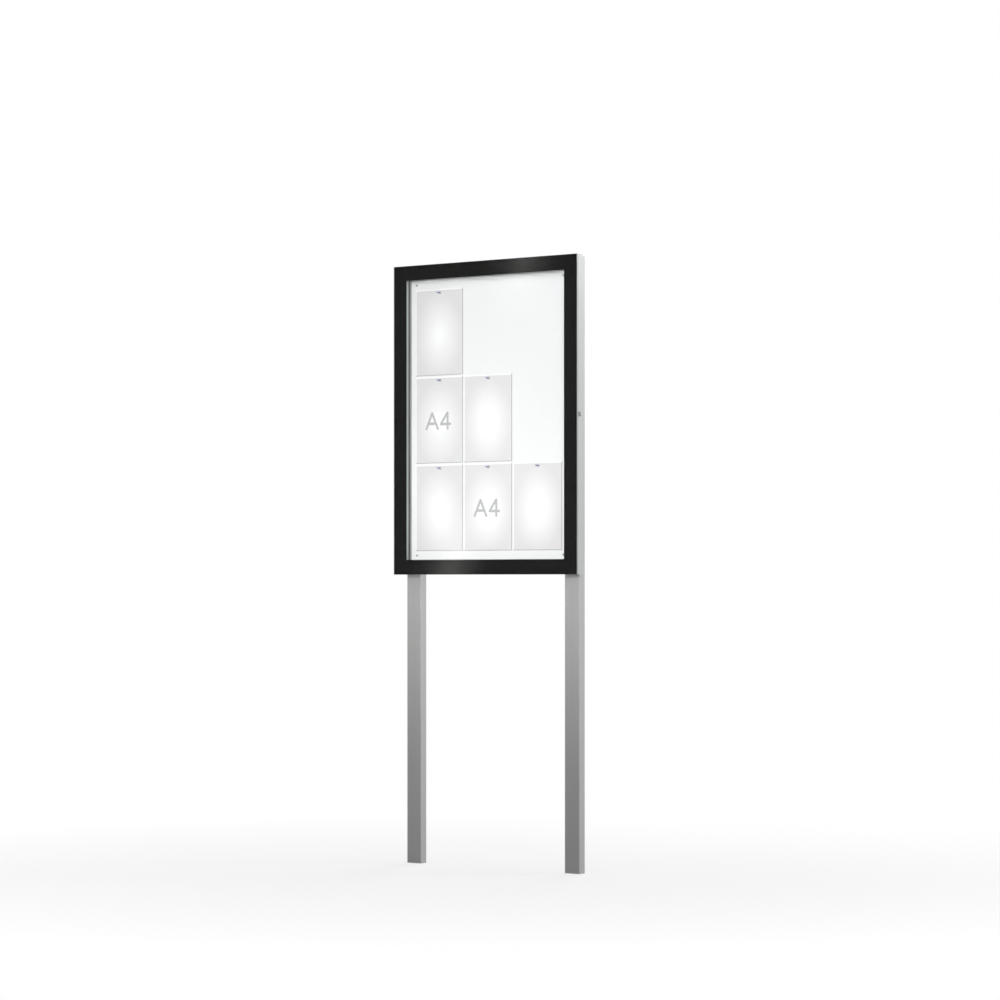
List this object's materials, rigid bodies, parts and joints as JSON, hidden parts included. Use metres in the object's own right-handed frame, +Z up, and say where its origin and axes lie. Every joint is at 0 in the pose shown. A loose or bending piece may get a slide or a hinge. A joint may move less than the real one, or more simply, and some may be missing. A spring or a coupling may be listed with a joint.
{
  "type": "lockable notice board",
  "caption": "Shallow upright display case with a side-hinged, black-bordered glass door and a key lock, carried on a pair of slim rectangular posts.",
  "frame": {"origin": "on the ground, midway between the two posts and at the middle of their depth", "axes": "+Z up, +X to the viewer's right along the board's width, +Y from the glass front towards the back"},
  "size_m": [0.8023, 0.0829, 2.066],
  "materials": {
    "cap_plastic": "matt moulded",
    "post_aluminium": "satin anodised",
    "case_aluminium": "satin anodised",
    "door_aluminium": "satin anodised",
    "rail_steel": "grey powder coat",
    "zinc_steel": "bright zinc",
    "glass": "clear toughened",
    "black_enamel": "gloss fired enamel",
    "panel_white": "gloss white enamel",
    "seal_rubber": "matt black",
    "hinge_steel": "stainless",
    "lock_chrome": "bright chrome",
    "paper": "matt white",
    "magnet_metal": "nickel",
    "grip_plastic": "blue-grey gloss"
  },
  "bodies": {
    "board": {"case_bottom": "case_aluminium", "case_corner_brackets": "zinc_steel", "case_left": "case_aluminium", "case_right": "case_aluminium", "case_top": "case_aluminium", "display_panel": "panel_white", "hinge_case_screws": "zinc_steel", "left_post": "post_aluminium", "left_post_cap": "cap_plastic", "lock_housing": "lock_chrome", "lock_nut": "zinc_steel", "lower_hinge_case_leaf": "hinge_steel", "lower_hinge_pin": "hinge_steel", "lower_rail": "rail_steel", "magnet_discs": "magnet_metal", "magnet_grips": "grip_plastic", "notice_centre_bottom": "paper", "notice_centre_middle": "paper", "notice_left_bottom": "paper", "notice_left_middle": "paper", "notice_left_top": "paper", "notice_right_bottom": "paper", "panel_nuts": "zinc_steel", "panel_screws": "zinc_steel", "panel_spacers": "zinc_steel", "rail_bolts": "zinc_steel", "rail_nuts": "zinc_steel", "rail_washers": "zinc_steel", "right_post": "post_aluminium", "right_post_cap": "cap_plastic", "seal_bottom": "seal_rubber", "seal_left": "seal_rubber", "seal_right": "seal_rubber", "seal_top": "seal_rubber", "upper_hinge_case_leaf": "hinge_steel", "upper_hinge_pin": "hinge_steel", "upper_rail": "rail_steel"},
    "door": {"border_print": "black_enamel", "catch_screws": "zinc_steel", "door_bottom": "door_aluminium", "door_corner_brackets": "zinc_steel", "door_glass": "glass", "door_left": "door_aluminium", "door_right": "door_aluminium", "door_top": "door_aluminium", "hinge_door_screws": "zinc_steel", "lock_catch": "hinge_steel", "lower_hinge_door_leaf": "hinge_steel", "upper_hinge_door_leaf": "hinge_steel"},
    "lock": {"lock_plug": "lock_chrome", "lock_cam": "zinc_steel", "cam_screw": "zinc_steel"}
  },
  "joints": [
    {"name": "door_hinge", "type": "hinge", "parent": "board", "child": "door", "pos_m": [-0.396, -0.0485, 1.533], "axis": [0, 0, -1], "range_deg": [0, 110]},
    {"name": "lock_turn", "type": "hinge", "parent": "board", "child": "lock", "pos_m": [0.4, -0.044, 1.533], "axis": [-1, 0, 0], "range_deg": [0, 90]}
  ]
}
